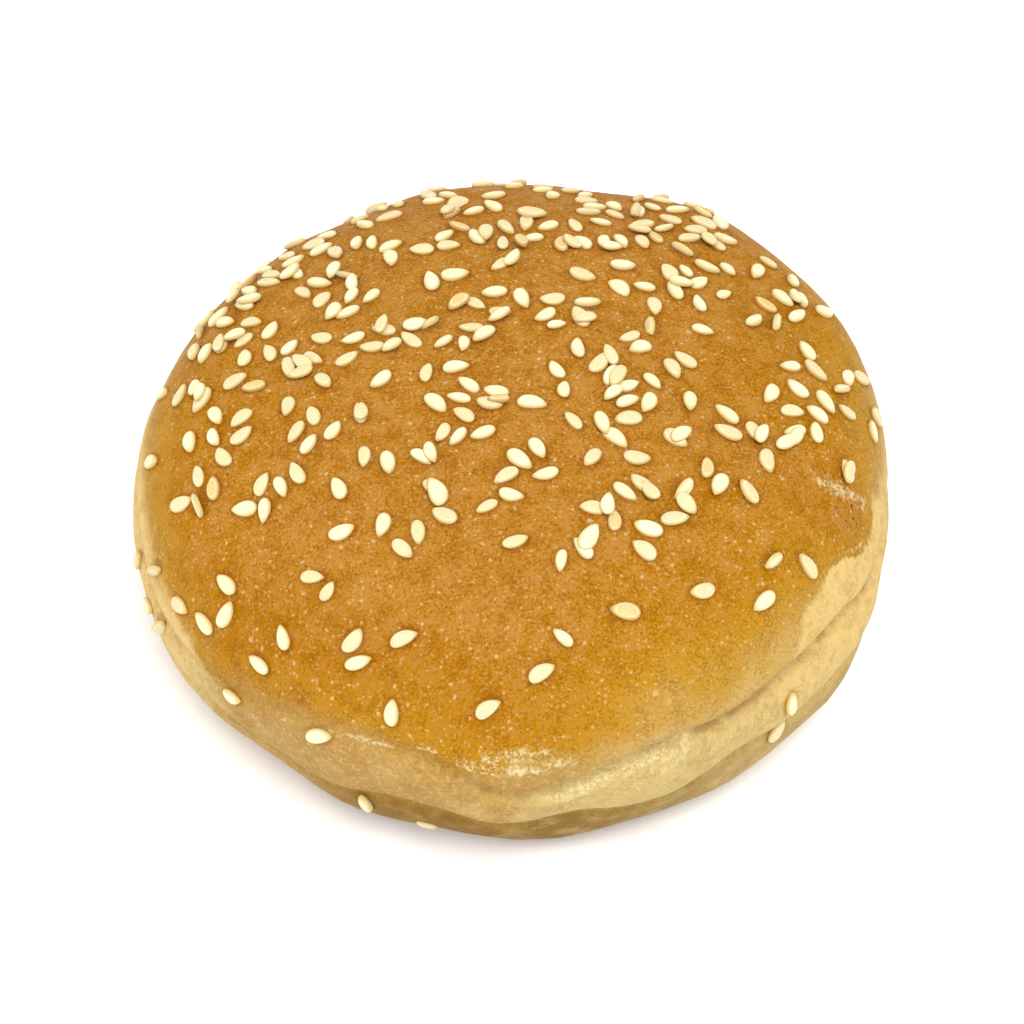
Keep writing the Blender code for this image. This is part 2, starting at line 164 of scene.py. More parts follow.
# Painted shade along the two creases, as dark lines: their half widths in mm, how far below the fold the
# first one lies, and how strong the second one is.
FOLD_SHADE_HALF_WIDTH = 0.4
FOLD_SHADE_BELOW = 0.15
TUCK_SHADE_HALF_WIDTH = 0.35
TUCK_SHADE_SHARE = 0.4

# Ragged light lines of dry skin, and in the fourth row a painted highlight along the top of the roll below
# the fold:
# rows of (angle, level) points, each with a half width in mm.
SKIN_AND_HIGHLIGHT_LINES = (
    (((262.5, 22.2), (265, 22.9), (268, 23.6), (271, 23.8), (275, 24.2), (279, 23.6)), 0.5),
    (((266, 24.3), (269, 25.1), (272, 25.6), (275.5, 25.5)), 0.5),
    (((236, 19.6), (240, 19.2), (243, 19.8), (248, 19.9), (253, 20.0)), 0.2),
    # Painted highlight along the top of the roll below the fold.
    (((276, 18.8), (279, 19.3), (283, 19.7), (288, 19.6), (293, 19.3)), 1.2),
    (((256, 21.2), (259, 22.0)), 0.25),
    (((340.5, 31.3), (342, 30.0), (343.3, 28.4), (344.4, 27.2)), 0.75),
    (((333, 26.6), (337, 25.4), (341, 24.6)), 0.2),
)
FLAKE_RISE = 0.14

# Painted contact shade darkens the crust this near to a seed, in mm, and distances are measured out to a bit
# more.
SEED_SHADE_WITHIN = 0.7
MEASURED_WITHIN = 1.0

# Distances past this many mm or half widths make no difference to the colours.
FAR = 9.0

# The rough patch at the right: its middle (angle, level) and its half sizes in degrees and levels.
ROUGH_PATCH = (341.0, 28.6, 5.0, 3.0)

# The seeds. A stray lies alone: (angle, level, heading), the heading measured from the rim to uphill.
SEED_LENGTH = 3.05
SEED_LENGTH_SPREAD = 0.22
SEED_WIDTH = 0.54
SEED_THICKNESS = 0.27
SEED_RAISED = 0.12
SEED_DRAW = 31
SEED_GAP = 0.12
STRAYS = (
    (187, 26.4, 60), (190, 31.0, 5), (192, 32.6, 20), (200, 29.8, 80), (202, 32.2, 165), (203, 24.1, 60),
    (212, 24.8, 10), (218, 25.6, 170), (218, 29.5, 175), (221, 27.6, 85), (226, 19.0, 5), (230, 25.2, 160),
    (231, 32.4, 15), (232, 28.2, 125), (235, 31.9, 75), (242, 19.3, 20), (243, 29.3, 65), (245, 27.8, 30),
    (251, 30.3, 40), (252, 24.0, 110), (266, 28.5, 60), (274, 31.1, 25), (278, 32.6, 120), (290, 32.2, 140),
    (305, 31.6, 160), (314, 28.3, 180), (320, 30.2, 175), (324, 29.9, 110), (325, 28.0, 95), (346, 30.1, 55),
    (312, 17.0, 75), (311, 11.7, 30), (248, 10.3, 80), (257, 7.0, 5), (195, 17.5, 75), (202, 15.8, 30),
    (207, 18.2, 70),
)

# Where seeds lie together on the crown, seen from above: (x, y, spread, how many).
SEED_GROUPS = (
    (-17, 31.5, 2.8, 5), (-9, 31, 2.4, 4), (-6, 27.5, 1.8, 3), (-2.5, 29, 0.5, 1), (2, 36.5, 2.6, 3),
    (7, 32.5, 2.6, 4), (11, 29, 2.2, 6), (16, 33, 2.8, 4), (21, 30, 3, 6), (24.5, 26.5, 2, 3),
    (17.5, 25, 2.8, 6), (-25.5, 25.5, 3, 6), (-19.5, 24.5, 2.2, 3), (-9.5, 20.3, 1.8, 3),
    (-5.7, 21.8, 1.6, 3), (-0.5, 22.3, 2.2, 5), (5, 22.5, 2.6, 6), (9.5, 20.3, 1.2, 2),
    (12.6, 21.3, 0.4, 1), (-30.5, 20, 2.6, 6), (-36, 14.5, 2.6, 6), (-24, 15.8, 2.4, 6),
    (-14.7, 19, 1.2, 2), (-31.8, 15.8, 1.2, 2), (-7.4, 13.5, 1.8, 2), (-1.2, 15.4, 1, 2),
    (7.5, 14.2, 0.4, 1), (-4, 10.3, 1.5, 3), (2.8, 9.2, 2.2, 3), (7.2, 8, 1.6, 3), (14, 12.8, 1.8, 2),
    (12.8, 16.6, 0.4, 1), (21.3, 18.3, 2.6, 6), (20, 12, 2, 3), (24.5, 13.2, 0.4, 1), (15.8, 7.8, 2, 2),
    (21.7, 6.7, 0.4, 1), (31.5, 14, 2.4, 6), (29, 20, 0.8, 1), (28, 9.8, 0.4, 1), (33.8, 6.8, 0.4, 1),
    (-36.5, 8, 1.8, 4), (-31.5, 9.5, 2, 4), (-18, 10.8, 2, 4), (-20.7, 8.5, 0.4, 1), (-29.5, 4.2, 2, 3),
    (-24.8, 3.6, 2.4, 5), (-17.2, 3.4, 2.2, 5), (-13, 3.6, 1.4, 2), (-9.9, 3.3, 1.8, 3),
    (-6.3, 1.2, 2, 3), (-2, 5.8, 1.4, 2), (-2.7, 1.8, 0.5, 1), (4.5, 2.3, 2, 2), (14, 3.2, 2, 2),
    (18.2, 0.4, 1, 2), (-38, 2, 1.6, 3), (-30.5, -0.4, 1.8, 2), (-35.8, -0.8, 0.4, 1),
    (-21.5, -2, 0.5, 1), (-14.7, -3.2, 0.5, 1), (-9.7, -1.7, 0.4, 1), (-2.7, -2, 1.2, 2),
    (2.3, -1, 0.5, 1), (9, -0.1, 1.2, 2), (12.2, -3.4, 1.6, 4), (16, -3, 0.8, 1), (34.5, 1.2, 3.4, 7),
    (32.2, -3.5, 2.4, 5), (30.3, -8, 0.4, 1), (5, -4.2, 0.4, 1), (1.5, -5.5, 0.4, 1), (-2.4, -5.8, 1, 2),
    (-9, -6.3, 0.4, 1), (-5.8, -7.7, 1.4, 2), (-18, -7, 1.2, 2), (-25.8, -5, 0.4, 1), (-33, -6.6, 3, 4),
    (-22.8, -9.3, 2.4, 4), (-7.5, -11.1, 1.4, 2), (-3.3, -11, 0.4, 1), (-11, -13, 1.2, 2),
    (6.3, -9.5, 0.4, 1), (12, -9, 1.8, 4), (14.3, -6, 0.4, 1), (19.5, -5.2, 0.4, 1), (18, -10.2, 1.2, 2),
    (24.3, -7.5, 2, 4), (27.7, -11.3, 0.4, 1), (11, -12.8, 2.6, 2), (-26, -15.6, 1.8, 3),
    (-35.5, -13.4, 2, 2), (-15, -14.2, 1.6, 2), (1.2, -15.4, 2.4, 4), (-1.8, -19.3, 1.4, 2),
    (12.4, -16.8, 1.4, 3), (18.7, -17.4, 1.2, 2), (24.3, -15.5, 2.4, 3), (17, -20.7, 0.4, 1),
    (10.2, -21.3, 1.4, 3), (13.3, -23.8, 1.4, 2), (-9.4, -18.5, 1, 2), (-10.5, -23.6, 1.2, 2),
    (-7.7, -21.7, 0.4, 1), (-14.5, -22, 0.4, 1), (-18.7, -22.7, 0.4, 1), (0, -24.7, 0.4, 1),
    (4.8, -26.8, 2, 2), (7.8, -25, 0.4, 1), (-29, -18.3, 1.4, 2), (-19, -17.3, 0.5, 1),
    (37.5, -9, 0.5, 1), (41.5, -1, 0.6, 1),
)
GROUP_TRIES = 18

# The far side: how many seeds, and the angles and levels between which they are scattered.
FAR_SEEDS = 20
FAR_ANGLES = (-8.0, 182.0)
FAR_LEVELS = (25.0, 34.5)

# The seeds that found no room: how far they lie above the others in mm, and how much they tip.
PILED_LIFT = 0.55
PILED_TIP = (0.1, 0.3)
PILED_DRAW = 8

# The shape of each seed here, drawn between two shares of its own size.
SEED_SHAPE_DRAW = 12
SEED_SIDES = 20
SEED_RINGS = 9
WIDTH_DRAWN = (0.88, 1.1)
THICKNESS_DRAWN = (0.9, 1.1)
TAPER_DRAWN = (0.12, 0.30)
POINT_DRAWN = (0.10, 0.34)
BEND_DRAWN = (-0.12, 0.12)
BEND_MIDDLE = 0.3
EDGE_ROUNDING = 0.55
DIP_DEPTH = 0.28
DIP_REACH = 0.5
DIP_BEHIND_MIDDLE = 0.1

# How the seeds lie: pitch and roll in radians, and the few that stand on edge.
PITCH = 0.05
ROLL = 0.12
ON_EDGE_SHARE = 0.05
ON_EDGE_ROLL = (0.7, 1.1)
ON_EDGE_LIFT = 0.35

# Kinds of seed, as shares of all the seeds. The rest are whole, cream ones.
HOLLOW_SHARE = 0.38
TOASTED_SHARE = 0.04

# The camera stands in front, 50 degrees up, as in the photo: sizes in mm from a point on the bun's axis.
CAMERA_AIM_HEIGHT = 18.0
CAMERA_ELEVATION = 50.0
CAMERA_DISTANCE = 280.0
CAMERA_LEFT = 0.39
CAMERA_DOWN = 4.45
CAMERA_LENS = 82.45
CAMERA_SENSOR = 36.0

# The lights, each with its place and size in metres and its power in watts, and the floor.
LIGHTS = (("key", (0.20, -0.38, 1.0), 0.6, 8.6), ("fill", (-0.7, -0.35, 0.5), 0.5, 2.0))
LIGHTS_AIM = (0, 0, 0.02)
FLOOR_HALF_SIZE = 3.0
FLOOR_ALBEDO = 0.96


def smooth_path(points, degrees):
    """The value at each angle on a smooth closed curve through (angle, value) points."""
    stops = np.array([point[0] for point in points], float)
    values = np.array([point[1] for point in points], float)
    stops = np.concatenate([stops[-2:] - 360, stops, stops[:2] + 360])
    values = np.concatenate([values[-2:], values, values[:2]])
    slopes = np.gradient(values, stops)
    turned = np.asarray(degrees, float) % 360
    spot = np.clip(np.searchsorted(stops, turned, side="right") - 1, 0, len(stops) - 2)
    span = stops[spot + 1] - stops[spot]
    t = (turned - stops[spot]) / span
    start = values[spot] * (1 + 2 * t) * (1 - t) ** 2 + slopes[spot] * span * t * (1 - t) ** 2
    end = values[spot + 1] * t ** 2 * (3 - 2 * t) - slopes[spot + 1] * span * t ** 2 * (1 - t)
    return start + end


def blend(value, low, high):
    """0 below low, 1 above high and a smooth step between them."""
    t = np.clip((value - low) / (high - low), 0, 1)
    return t * t * (3 - 2 * t)


def fade(value, low, high):
    """1 below low, 0 above high and a smooth step between them."""
    return blend(-value, -high, -low)


def bump(distance, half_width):
    """1 at no distance, falling away smoothly on both sides."""
    return np.exp(-((distance / half_width) ** 2))


def plan_wave(waves, degrees):
    """How far the waves stand out at each angle, in mm."""
    return sum(height * np.cos(np.radians(lobes * (degrees - crest))) for lobes, height, crest in waves)


def profile(height):
    """Radius and outward direction (sideways, up) of the plain turned form at each height."""
    rise = np.clip((height - WIDEST_HEIGHT) / (HEIGHT - WIDEST_HEIGHT), 0, 1)
    drop = np.clip(1 - height / WIDEST_HEIGHT, 0, 1)
    crown = (1 - rise ** CROWN_POWER) ** (1 / CROWN_POWER)
    under = (1 - drop ** UNDER_POWER) ** (1 / UNDER_POWER)
    above = height > WIDEST_HEIGHT
    radius = np.where(above, RADIUS * crown, HEEL_RADIUS + (RADIUS - HEEL_RADIUS) * under)
    crown_out = crown ** (CROWN_POWER - 1) / RADIUS
    crown_up = rise ** (CROWN_POWER - 1) / (HEIGHT - WIDEST_HEIGHT)
    under_out = under ** (UNDER_POWER - 1) / (RADIUS - HEEL_RADIUS)
    under_up = -(drop ** (UNDER_POWER - 1)) / WIDEST_HEIGHT
    out = np.where(above, crown_out, under_out)
    up = np.where(above, crown_up, under_up)
    size = np.hypot(out, up)
    return radius, out / size, up / size


def ring_levels(coarse, fine):
    """Heights of the crust's rings: evenly spaced along the profile, closer at its two creases."""
    turn = np.linspace(0, math.pi / 2, 400)
    under = WIDEST_HEIGHT * (1 - np.cos(turn))
    crown = WIDEST_HEIGHT + (HEIGHT - WIDEST_HEIGHT) * np.sin(turn)
    levels = np.concatenate([under, crown[1:]])
    radius = profile(levels)[0]
    middle = (levels[1:] + levels[:-1]) / 2
    near = np.maximum(bump(middle - FOLD_LEVEL, FINE_REACH), bump(middle - TUCK_LEVEL, FINE_REACH))
    steps = np.hypot(np.diff(levels), np.diff(radius)) / (coarse + (fine - coarse) * near)
    travelled = np.concatenate([[0], np.cumsum(steps)])
    rings = int(round(travelled[-1]))
    return np.interp(np.linspace(0, travelled[-1], rings + 1), travelled, levels)


def lumps(x, y, z):
    """Slight unevenness of the whole form."""
    draw = random.Random(LUMP_DRAW)
    total = 0
    for length in LUMP_LENGTHS:
        way = Vector((draw.gauss(0, 1), draw.gauss(0, 1), draw.gauss(0, 1))).normalized()
        phase = draw.uniform(0, 2 * math.pi)
        total = total + np.sin((x * way.x + y * way.y + z * way.z) * 2 * math.pi / length + phase)
    return LUMP_HEIGHT * total


def height_at(degrees, level):
    """Height in mm of a level. The rings at FOLD_LEVEL and TUCK_LEVEL run along the two creases."""
    tuck = smooth_path(TUCK_HEIGHTS, degrees)
    fold = smooth_path(FOLD_HEIGHTS, degrees)
    between = (level - TUCK_LEVEL) / (FOLD_LEVEL - TUCK_LEVEL)
    over = (level - FOLD_LEVEL) / (HEIGHT - FOLD_LEVEL)
    height = np.where(level < TUCK_LEVEL, level * tuck / TUCK_LEVEL, tuck + between * (fold - tuck))
    height = np.where(level > FOLD_LEVEL, fold + over * (HEIGHT - fold), height)
    return height, tuck, fold, between


def crust(degrees, level, extra=0):
    """Points of the crust in mm. extra raises it a little more, along its outward direction."""
    height, tuck, fold, between = height_at(degrees, level)
    radius, out, up = profile(height)
    crown_share = blend(height, WAVES_CHANGE_FROM, WAVES_CHANGE_TO)
    wave = plan_wave(CROWN_WAVES, degrees) * crown_share + plan_wave(HEEL_WAVES, degrees) * (1 - crown_share)
    radius = radius * (1 + wave / RADIUS)
    across = np.cos(np.radians(degrees))
    along = np.sin(np.radians(degrees))

    depth = smooth_path(FOLD_DEPTHS, degrees)
    from_fold = height - fold
    relief = depth * LIP_SHARE * bump(from_fold - LIP_ABOVE, LIP_HALF_WIDTH)
    relief = relief - depth * bump(from_fold, FOLD_HALF_WIDTH)
    relief = relief - TUCK_DEPTH * bump(height - tuck, TUCK_HALF_WIDTH)
    relief = relief + smooth_path(ROLL_HEIGHTS, degrees) * np.sin(math.pi * np.clip(between, 0, 1))
    for angle, at_height, half_width, hollow_depth in HOLLOWS:
        turned = np.radians((degrees - angle + 180) % 360 - 180) * radius
        relief = relief - hollow_depth * bump(np.hypot(turned, height - at_height), half_width)
    relief = relief + lumps(radius * across, radius * along, height)
    relief = (relief + extra) * blend(height, 0, 1.5)
    side = radius + relief * out
    return np.stack([side * across, side * along, height + relief * up], -1)


def plan_centre():
    """Middle of the crust's own box, which is brought to the origin."""
    degrees, level = np.meshgrid(np.arange(0, 360, 1.0), ring_levels(COARSE_STEP / 2, FINE_STEP / 2))
    points = crust(degrees, level)[..., :2].reshape(-1, 2)
    return (points.min(0) + points.max(0)) / 2


def spot(degrees, level):
    """Centre, rim direction, uphill direction and outward direction at one place on the crust."""
    step = 0.2
    turned = np.array([degrees, degrees + step, degrees - step, degrees, degrees])
    raised = np.array([level, level, level, level + step, level - step])
    points = crust(turned, np.clip(raised, 0, HEIGHT))
    rim = Vector(points[1] - points[2]).normalized()
    uphill = Vector(points[3] - points[4])
    outward = rim.cross(uphill).normalized()
    return Vector(points[0]), rim, outward.cross(rim), outward


def level_under(x, y):
    """Angle and level of the crown above a place in the plan."""
    degrees = math.degrees(math.atan2(y, x)) % 360
    levels = np.linspace(FOLD_LEVEL + LIP_ABOVE, HEIGHT, 120)
    points = crust(np.full(len(levels), degrees), levels)
    reach = np.hypot(points[:, 0], points[:, 1])
    return degrees, float(np.interp(-math.hypot(x, y), -reach, levels))


def seed_line(placed, count=5):
    """Points along the middle of a seed, to tell how near two seeds are."""
    centre, heading, _, length = placed
    reach = length * (1 - SEED_WIDTH) / 2
    return [centre + heading * (reach * (2 * i / (count - 1) - 1)) for i in range(count)]


def clear_of(line, others, gap):
    """Whether all the points of a line are further than gap from those of the others."""
    return all((a - b).length > gap for other in others for a in line for b in other)


def place_seeds():
    """Each seed's centre, heading, outward direction and length, and then the same of those left over.

    The seeds left over found no clear place in their group, so they lie on the others.
    """
    draw = random.Random(SEED_DRAW)
    placed = []
    left_over = []
    lines = []

    def add(degrees, level, heading):
        centre, rim, uphill, outward = spot(degrees, level)
        turn = math.radians(heading)
        length = SEED_LENGTH + draw.gauss(0, SEED_LENGTH_SPREAD)
        found = (centre, rim * math.cos(turn) + uphill * math.sin(turn), outward, length)
        line = seed_line(found)
        near = [other for other in lines if (other[2] - line[2]).length < 2 * SEED_LENGTH]
        if clear_of(line, near, SEED_LENGTH * SEED_WIDTH + SEED_GAP):
            placed.append(found)
            lines.append(line)
            return None
        return found

    for degrees, level, heading in STRAYS:
        add(degrees, level, heading)
    for x, y, spread, count in SEED_GROUPS:
        for _ in range(count):
            for attempt in range(GROUP_TRIES):
                way = draw.uniform(0, 2 * math.pi)
                reach = spread * (1 + attempt / GROUP_TRIES) * math.sqrt(draw.random())
                degrees, level = level_under(x + reach * math.cos(way), y + reach * math.sin(way))
                crowded = add(degrees, level, draw.uniform(0, 360))
                if crowded is None:
                    break
            if crowded is not None:
                left_over.append(crowded)
    wanted = len(placed) + FAR_SEEDS
    while len(placed) < wanted:
        add(draw.uniform(*FAR_ANGLES), draw.uniform(*FAR_LEVELS), draw.uniform(0, 360))
    return placed, left_over


def pile(seeds):
    """The seeds left over, lifted on to the others and a little tipped."""
    draw = random.Random(PILED_DRAW)
    piled = []
    for centre, heading, outward, length in seeds:
        way = Vector((draw.gauss(0, 1), draw.gauss(0, 1), draw.gauss(0, 1))).normalized()
        tipped = (outward + way * draw.uniform(*PILED_TIP)).normalized()
        along = (heading - tipped * heading.dot(tipped)).normalized()
        piled.append((centre + outward * PILED_LIFT, along, tipped, length))
    return piled


def noise_on(points, length):
    """Smooth noise from -1 to 1 with this wave length at each point, in mm."""
    return np.array([noise.noise(Vector(point) / length) for point in points])


def skin_and_highlight_distance(degrees, level, radius):
    """How far each point is from the nearest of the lines of dry skin and painted highlight, in half widths
    of that line.
    """
    nearest = np.full(degrees.shape, np.inf)
    for row, half_width in SKIN_AND_HIGHLIGHT_LINES:
        for (angle_a, level_a), (angle_b, level_b) in zip(row[:-1], row[1:]):
            x = np.radians((degrees - angle_a + 180) % 360 - 180) * radius
            y = level - level_a
            end_x = math.radians(angle_b - angle_a) * RADIUS
            end_y = level_b - level_a
            t = np.clip((x * end_x + y * end_y) / (end_x ** 2 + end_y ** 2), 0, 1)
            nearest = np.minimum(nearest, np.hypot(x - t * end_x, y - t * end_y) / half_width)
    return nearest


def store(mesh, name, values):
    """Keeps a number for each point, which the material reads by its name."""
    kept = mesh.attributes.new(name, "FLOAT", "POINT")
    kept.data.foreach_set("value", np.asarray(values, np.float32).ravel())


def new_object(name, points, faces):
    """A smooth mesh object from points in mm."""
    mesh = bpy.data.meshes.new(name)
    mesh.from_pydata((np.asarray(points) * MM).tolist(), [], faces)
    mesh.shade_smooth()
    made = bpy.data.objects.new(name, mesh)
    bpy.context.scene.collection.objects.link(made)
    return made


def ring_faces(rings, sides):
    """Quads between rings of points, each ring closed."""
    faces = []
    for ring in range(rings - 1):
        for i in range(sides):
            j = (i + 1) % sides
            low = ring * sides
            faces.append((low + i, low + j, low + sides + j, low + sides + i))
    return faces


def seed_distance(points, seeds):
    """How far each point lies from the outline of the nearest seed, in mm."""
    nearest = np.full(len(points), FAR)
    for at, heading, outward, length in seeds:
        reach = length / 2 + MEASURED_WITHIN
        near = np.flatnonzero(np.abs(points - at).max(1) < reach)
        away = points[near] - at
        across = np.cross(outward, heading)
        x = away @ np.array(heading) / (length / 2)
        y = away @ across / (length * SEED_WIDTH / 2)
        ratio = np.maximum(np.hypot(x, y), 0.01)
        beyond = (ratio - 1) / ratio * length / 2
        gap = beyond * np.hypot(x, y * SEED_WIDTH)
        nearest[near] = np.minimum(nearest[near], np.where(ratio < 1, 0, gap))
    return nearest


def crust_side():
    """Angles, levels, distances from the lines of dry skin and painted highlight, and points of the rings
    above the underside.
    """
    angles = np.arange(SEGMENTS) * 360 / SEGMENTS
    levels = ring_levels(CRUST_STEP, CREASE_STEP)[:-1]
    degrees, level = np.meshgrid(angles, levels)
    height = height_at(degrees, level)[0]
    plain = crust(degrees, level).reshape(-1, 3)
    extra = sum(size * noise_on(plain, length) for length, size in SKIN_RELIEF).reshape(degrees.shape)
    flake_and_highlight = skin_and_highlight_distance(degrees, level, profile(height)[0])
    return degrees, level, flake_and_highlight, crust(degrees, level, extra + FLAKE_RISE * bump(flake_and_highlight, 1.0))


def crust_base(edge):
    """Rings of points for the underside, slightly hollow inside its edge."""
    shares = np.linspace(0, 1, BASE_RINGS + 1)[1:-1]
    base = edge[None] * shares[:, None, None]
    hollow = noise_on(base.reshape(-1, 3), BASE_HOLLOW_LENGTH).reshape(base.shape[:2]) * 0.5 + 0.5
    base[..., 2] = BASE_HOLLOW * hollow * blend(1 - shares, 0.0, BASE_RIM_SHARE)[:, None]
    return base


def crust_attributes(degrees, level, flake_and_highlight, from_seed):
    """What the crust's colours depend on: a name, the values on its rings, and those below and above them."""
    height, tuck, fold, _ = height_at(degrees, level)
    yield "from_border", level - smooth_path(BORDER_LEVELS, degrees), -30, 15
    yield "border_blur", np.maximum(smooth_path(BORDER_BLUR, degrees), LEAST_BLUR), 1, 1
    yield "baked", level + smooth_path(BAKED_SHIFTS, degrees), 0, HEIGHT
    yield "deep", np.clip(smooth_path(DEEP_SHARES, degrees) * fade(level, *DEEP_UP_TO), 0, 1), 0, 0

    high = blend(level, *HIGH_CREAM_FROM)
    shares = smooth_path(HIGH_CREAM_SHARES, degrees)
    low_cream = (1 - high) * LOW_CREAM_SHARE * np.maximum(shares, 0) * blend(level, *LOW_CREAM_FROM)
    yield "cream", np.clip(smooth_path(CREAM_SHARES, degrees), 0, 1), 0, 0
    yield "high_cream", high * shares + low_cream, 0, 0
    yield "heel", smooth_path(HEEL_SHARES, degrees) * fade(level, *HEEL_UP_TO), 1, 0

    across, up, wide, tall = ROUGH_PATCH
    rough = np.hypot(((degrees - across + 180) % 360 - 180) / wide, (level - up) / tall)
    # Painted shade in the fold and tuck creases, darkest where the fold is deepest.
    fold_shade = bump(height - fold + FOLD_SHADE_BELOW, FOLD_SHADE_HALF_WIDTH)
    fold_shade = fold_shade * smooth_path(FOLD_DEPTHS, degrees)
    tuck_shade = bump(height - tuck, TUCK_SHADE_HALF_WIDTH) * TUCK_SHADE_SHARE
    yield "rough", np.minimum(rough, FAR), FAR, FAR
    yield "flake_and_highlight", np.minimum(flake_and_highlight, FAR), FAR, FAR
    yield "crease_shade", np.clip(np.maximum(fold_shade, tuck_shade), 0, 1), 0, 0
    yield "rise", height, 0, HEIGHT
    yield "from_seed", from_seed, FAR, FAR


def make_crust(centre, seeds):
    """The whole crust, from the middle of the underside round to the top of the crown."""
    degrees, level, flake_and_highlight, side = crust_side()
    base = crust_base(side[0])
    rings = np.concatenate([base, side])
    bottom = len(rings) * SEGMENTS
    top = bottom + 1
    rim = bottom - SEGMENTS
    ends = [[0, 0, BASE_HOLLOW / 2], crust(0.0, HEIGHT)]
    points = np.concatenate([rings.reshape(-1, 3), ends])
    points[:, :2] -= centre
    faces = ring_faces(len(rings), SEGMENTS)
    faces += [((i + 1) % SEGMENTS, i, bottom) for i in range(SEGMENTS)]
    faces += [(rim + i, rim + (i + 1) % SEGMENTS, top) for i in range(SEGMENTS)]
    made = new_object("bun_crust", points, faces)

    from_seed = seed_distance(side.reshape(-1, 3), seeds).reshape(degrees.shape)
    for name, values, below, above in crust_attributes(degrees, level, flake_and_highlight, from_seed):
        under = np.full((len(base), SEGMENTS), float(below))
        store(made.data, name, np.concatenate([np.concatenate([under, values]).ravel(), [below, above]]))
    return made


def seed_surface(length, draw, hollow):
    """Points of one seed in mm, lying along +X with its tip there, and where each lies on it."""
    width = length * SEED_WIDTH * draw.uniform(*WIDTH_DRAWN)
    thick = length * SEED_THICKNESS * draw.uniform(*THICKNESS_DRAWN)
    taper = draw.uniform(*TAPER_DRAWN)
    point = draw.uniform(*POINT_DRAWN)
    bend = draw.uniform(*BEND_DRAWN) * width
    turn = np.arange(SEED_SIDES) * 2 * math.pi / SEED_SIDES
    rise = np.linspace(-math.pi / 2, math.pi / 2, SEED_RINGS)[1:-1]
    turn, rise = np.meshgrid(turn, rise)
    reach = np.cos(rise) ** EDGE_ROUNDING
    x = np.cos(turn) * reach
    y = np.sin(turn) * (1 - taper * np.cos(turn) - point * np.maximum(np.cos(turn), 0) ** 3) * reach
    z = np.sin(rise)
    depth = DIP_DEPTH if hollow else 0
    z = z - np.where(z > 0, depth * bump(np.hypot(x + DIP_BEHIND_MIDDLE, y), DIP_REACH), 0)
    ends = np.array([[0, 0, -1.0], [0, 0, 1.0 - depth]])
    unit = np.concatenate([np.stack([x, y, z], -1).reshape(-1, 3), ends])
    points = unit * [length / 2, width / 2, thick / 2]
    points[:, 1] += bend * (unit[:, 0] ** 2 - BEND_MIDDLE)
    return points, unit


def seed_faces():
    """Faces of one seed: its rings and the fans that close it below and above."""
    rings = SEED_RINGS - 2
    faces = ring_faces(rings, SEED_SIDES)
    bottom = rings * SEED_SIDES
    rim = (rings - 1) * SEED_SIDES
    faces += [((i + 1) % SEED_SIDES, i, bottom) for i in range(SEED_SIDES)]
    faces += [(rim + i, rim + (i + 1) % SEED_SIDES, bottom + 1) for i in range(SEED_SIDES)]
    return faces


def seed_turn(heading, outward, draw):
    """The seed's own three directions once it is pitched and rolled, and how far its middle rises."""
    outward = (outward + heading * draw.gauss(0, PITCH)).normalized()
    heading = (heading - outward * heading.dot(outward)).normalized()
    side = outward.cross(heading)
    roll = draw.gauss(0, ROLL)
    if draw.random() < ON_EDGE_SHARE:
        roll = draw.choice((-1, 1)) * draw.uniform(*ON_EDGE_ROLL)
    rolled = side * math.cos(roll) + outward * math.sin(roll)
    outward = outward * math.cos(roll) - side * math.sin(roll)
    lift = SEED_RAISED + ON_EDGE_LIFT * abs(math.sin(roll))
    return np.array([heading, rolled, outward]), lift


def make_seeds(name, seeds, hollow, centre, draw):
    """All the seeds of one kind, joined in one mesh."""
    one = seed_faces()
    points, faces, tones, along, across = [], [], [], [], []
    for at, heading, outward, length in seeds:
        local, unit = seed_surface(length, draw, hollow)
        turn, lift = seed_turn(heading, outward, draw)
        faces += [tuple(len(points) * len(local) + i for i in face) for face in one]
        points.append(local @ turn + np.array(at) + turn[2] * lift - [*centre, 0])
        tones.append(np.full(len(local), draw.random()))
        along.append(unit[:, 0])
        across.append(np.hypot(unit[:, 0] + DIP_BEHIND_MIDDLE, unit[:, 1]))
    made = new_object(name, np.concatenate(points), faces)
    store(made.data, "tone", np.concatenate(tones))
    store(made.data, "along_seed", np.concatenate(along))
    store(made.data, "from_middle", np.concatenate(across))
    return made


# How far a pattern's coordinates are moved so that it follows no other, in metres.
WELL_AWAY = (0.31, 0.17, 0.23)


